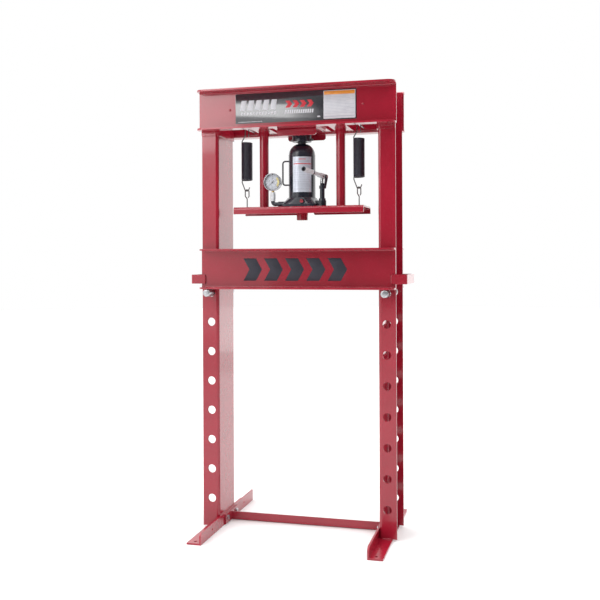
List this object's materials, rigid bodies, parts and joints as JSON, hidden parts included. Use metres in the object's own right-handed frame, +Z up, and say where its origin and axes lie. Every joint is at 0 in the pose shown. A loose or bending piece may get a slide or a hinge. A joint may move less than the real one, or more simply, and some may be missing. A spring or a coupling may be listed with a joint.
{
  "type": "hydraulic shop press",
  "caption": "Floor-standing H-frame press: a bottle jack with a gauge pushes a spring-returned ram platform down over a height-adjustable pinned bed.",
  "frame": {"origin": "on the floor, at the centre of the press's footprint, midway between the uprights", "axes": "+Z up, +X to the operator's right, +Y to the back, away from the operator"},
  "size_m": [0.768, 0.56, 1.54],
  "materials": {
    "red_paint": "glossy sprayed enamel",
    "jack_black": "semi-gloss black enamel",
    "spring_black": "black coated spring wire",
    "zinc": "bright zinc plate",
    "hook_steel": "dark oiled spring wire",
    "ram_steel": "ground and chromed rod",
    "bezel_chrome": "polished bezel",
    "plated_socket": "dull zinc plate",
    "valve_red": "red enamel",
    "dial_white": "printed white dial",
    "needle_black": "black pointer",
    "gauge_glass": "clear lens",
    "brass": "turned brass",
    "seal_rubber": "black rubber",
    "black_oxide": "blackened steel"
  },
  "bodies": {
    "frame": {"left_upright": "red_paint", "right_upright": "red_paint", "front_head_channel": "red_paint", "rear_head_channel": "red_paint", "head_brackets": "red_paint", "thrust_plate": "red_paint", "thrust_channel": "red_paint", "locating_collar": "jack_black", "collar_set_screws": "hook_steel", "guide_plates": "red_paint", "guide_sleeves": "red_paint", "head_tie_bolts": "red_paint", "spring_hanger_rods": "zinc", "left_foot": "red_paint", "right_foot": "red_paint", "base_crossbar": "red_paint", "crossbar_bolts": "zinc", "crossbar_nuts": "zinc", "jack_ram": "ram_steel", "extension_screw": "black_oxide", "spring_top_hooks": "hook_steel", "left_spring": "spring_black", "right_spring": "spring_black"},
    "carriage": {"spring_bottom_hooks": "hook_steel", "spring_anchor_eyes": "hook_steel", "spring_anchor_nuts": "zinc", "ram_platform": "red_paint", "ram_nose": "red_paint", "left_guide_tube": "red_paint", "right_guide_tube": "red_paint", "jack_base": "jack_black", "jack_tank": "jack_black", "pressure_cylinder": "ram_steel", "jack_cap": "jack_black", "ram_wiper": "seal_rubber", "carry_handle": "jack_black", "filler_plug": "seal_rubber", "pump_barrel": "jack_black", "gland_nut": "jack_black", "fulcrum_link": "jack_black", "fulcrum_pin": "zinc", "gauge_case": "jack_black", "gauge_bezel": "bezel_chrome", "gauge_dial": "dial_white", "gauge_lens": "gauge_glass", "gauge_stem": "brass", "gauge_adapter": "plated_socket", "gauge_elbow": "jack_black"},
    "release_valve": {"release_valve": "valve_red"},
    "gauge_needle": {"gauge_needle": "needle_black"},
    "pump_plunger": {"pump_plunger": "ram_steel", "plunger_pin": "zinc"},
    "pump_lever": {"pump_lever": "plated_socket"},
    "handle_socket": {"handle_socket": "plated_socket"},
    "bed": {"front_bed_channel": "red_paint", "rear_bed_channel": "red_paint", "bed_straps": "red_paint"},
    "left_bed_pin": {"left_bed_pin": "zinc"},
    "right_bed_pin": {"right_bed_pin": "zinc"}
  },
  "joints": [
    {"name": "ram_press", "type": "slide", "parent": "frame", "child": "carriage", "axis": [0, 0, -1], "range_m": [0, 0.14], "stiffness_N_per_m": 3000, "springref_m": -0.08, "deforming": ["left_spring", "right_spring"]},
    {"name": "release_valve_turn", "type": "hinge", "parent": "carriage", "child": "release_valve", "pos_m": [0.015, -0.061, 1.149], "axis": [0, -1, 0], "range_deg": [0, 180]},
    {"name": "gauge_needle_turn", "type": "hinge", "parent": "carriage", "child": "gauge_needle", "pos_m": [-0.096, -0.046, 1.219], "axis": [0, -1, 0], "range_deg": [-270, 0], "stiffness_Nm_per_rad": 0.002, "springref_deg": 11.46},
    {"name": "pump_lever_swing", "type": "hinge", "parent": "carriage", "child": "pump_lever", "pos_m": [0.08337, -0.00927, 1.236], "axis": [-0.8944, 0.4472, 0], "range_deg": [-16, 30]},
    {"name": "pump_plunger_slide", "type": "slide", "parent": "carriage", "child": "pump_plunger", "axis": [0, 0, 1], "range_m": [-0.0034, 0.0064]},
    {"name": "handle_socket_swivel", "type": "hinge", "parent": "pump_lever", "child": "handle_socket", "pos_m": [0.08337, -0.00927, 1.236], "axis": [-0.4404, -0.8808, 0.1736], "continuous": true},
    {"name": "bed_height", "type": "slide", "parent": "frame", "child": "bed", "axis": [0, 0, 1], "range_m": [-0.624, 0]},
    {"name": "left_bed_pin_pull", "type": "slide", "parent": "bed", "child": "left_bed_pin", "axis": [0, -1, 0], "range_m": [0, 0.24]},
    {"name": "right_bed_pin_pull", "type": "slide", "parent": "bed", "child": "right_bed_pin", "axis": [0, -1, 0], "range_m": [0, 0.24]}
  ],
  "couplings": [
    {"joint": "pump_plunger_slide", "follows": "pump_lever_swing", "m_per_rad": 0.012}
  ]
}
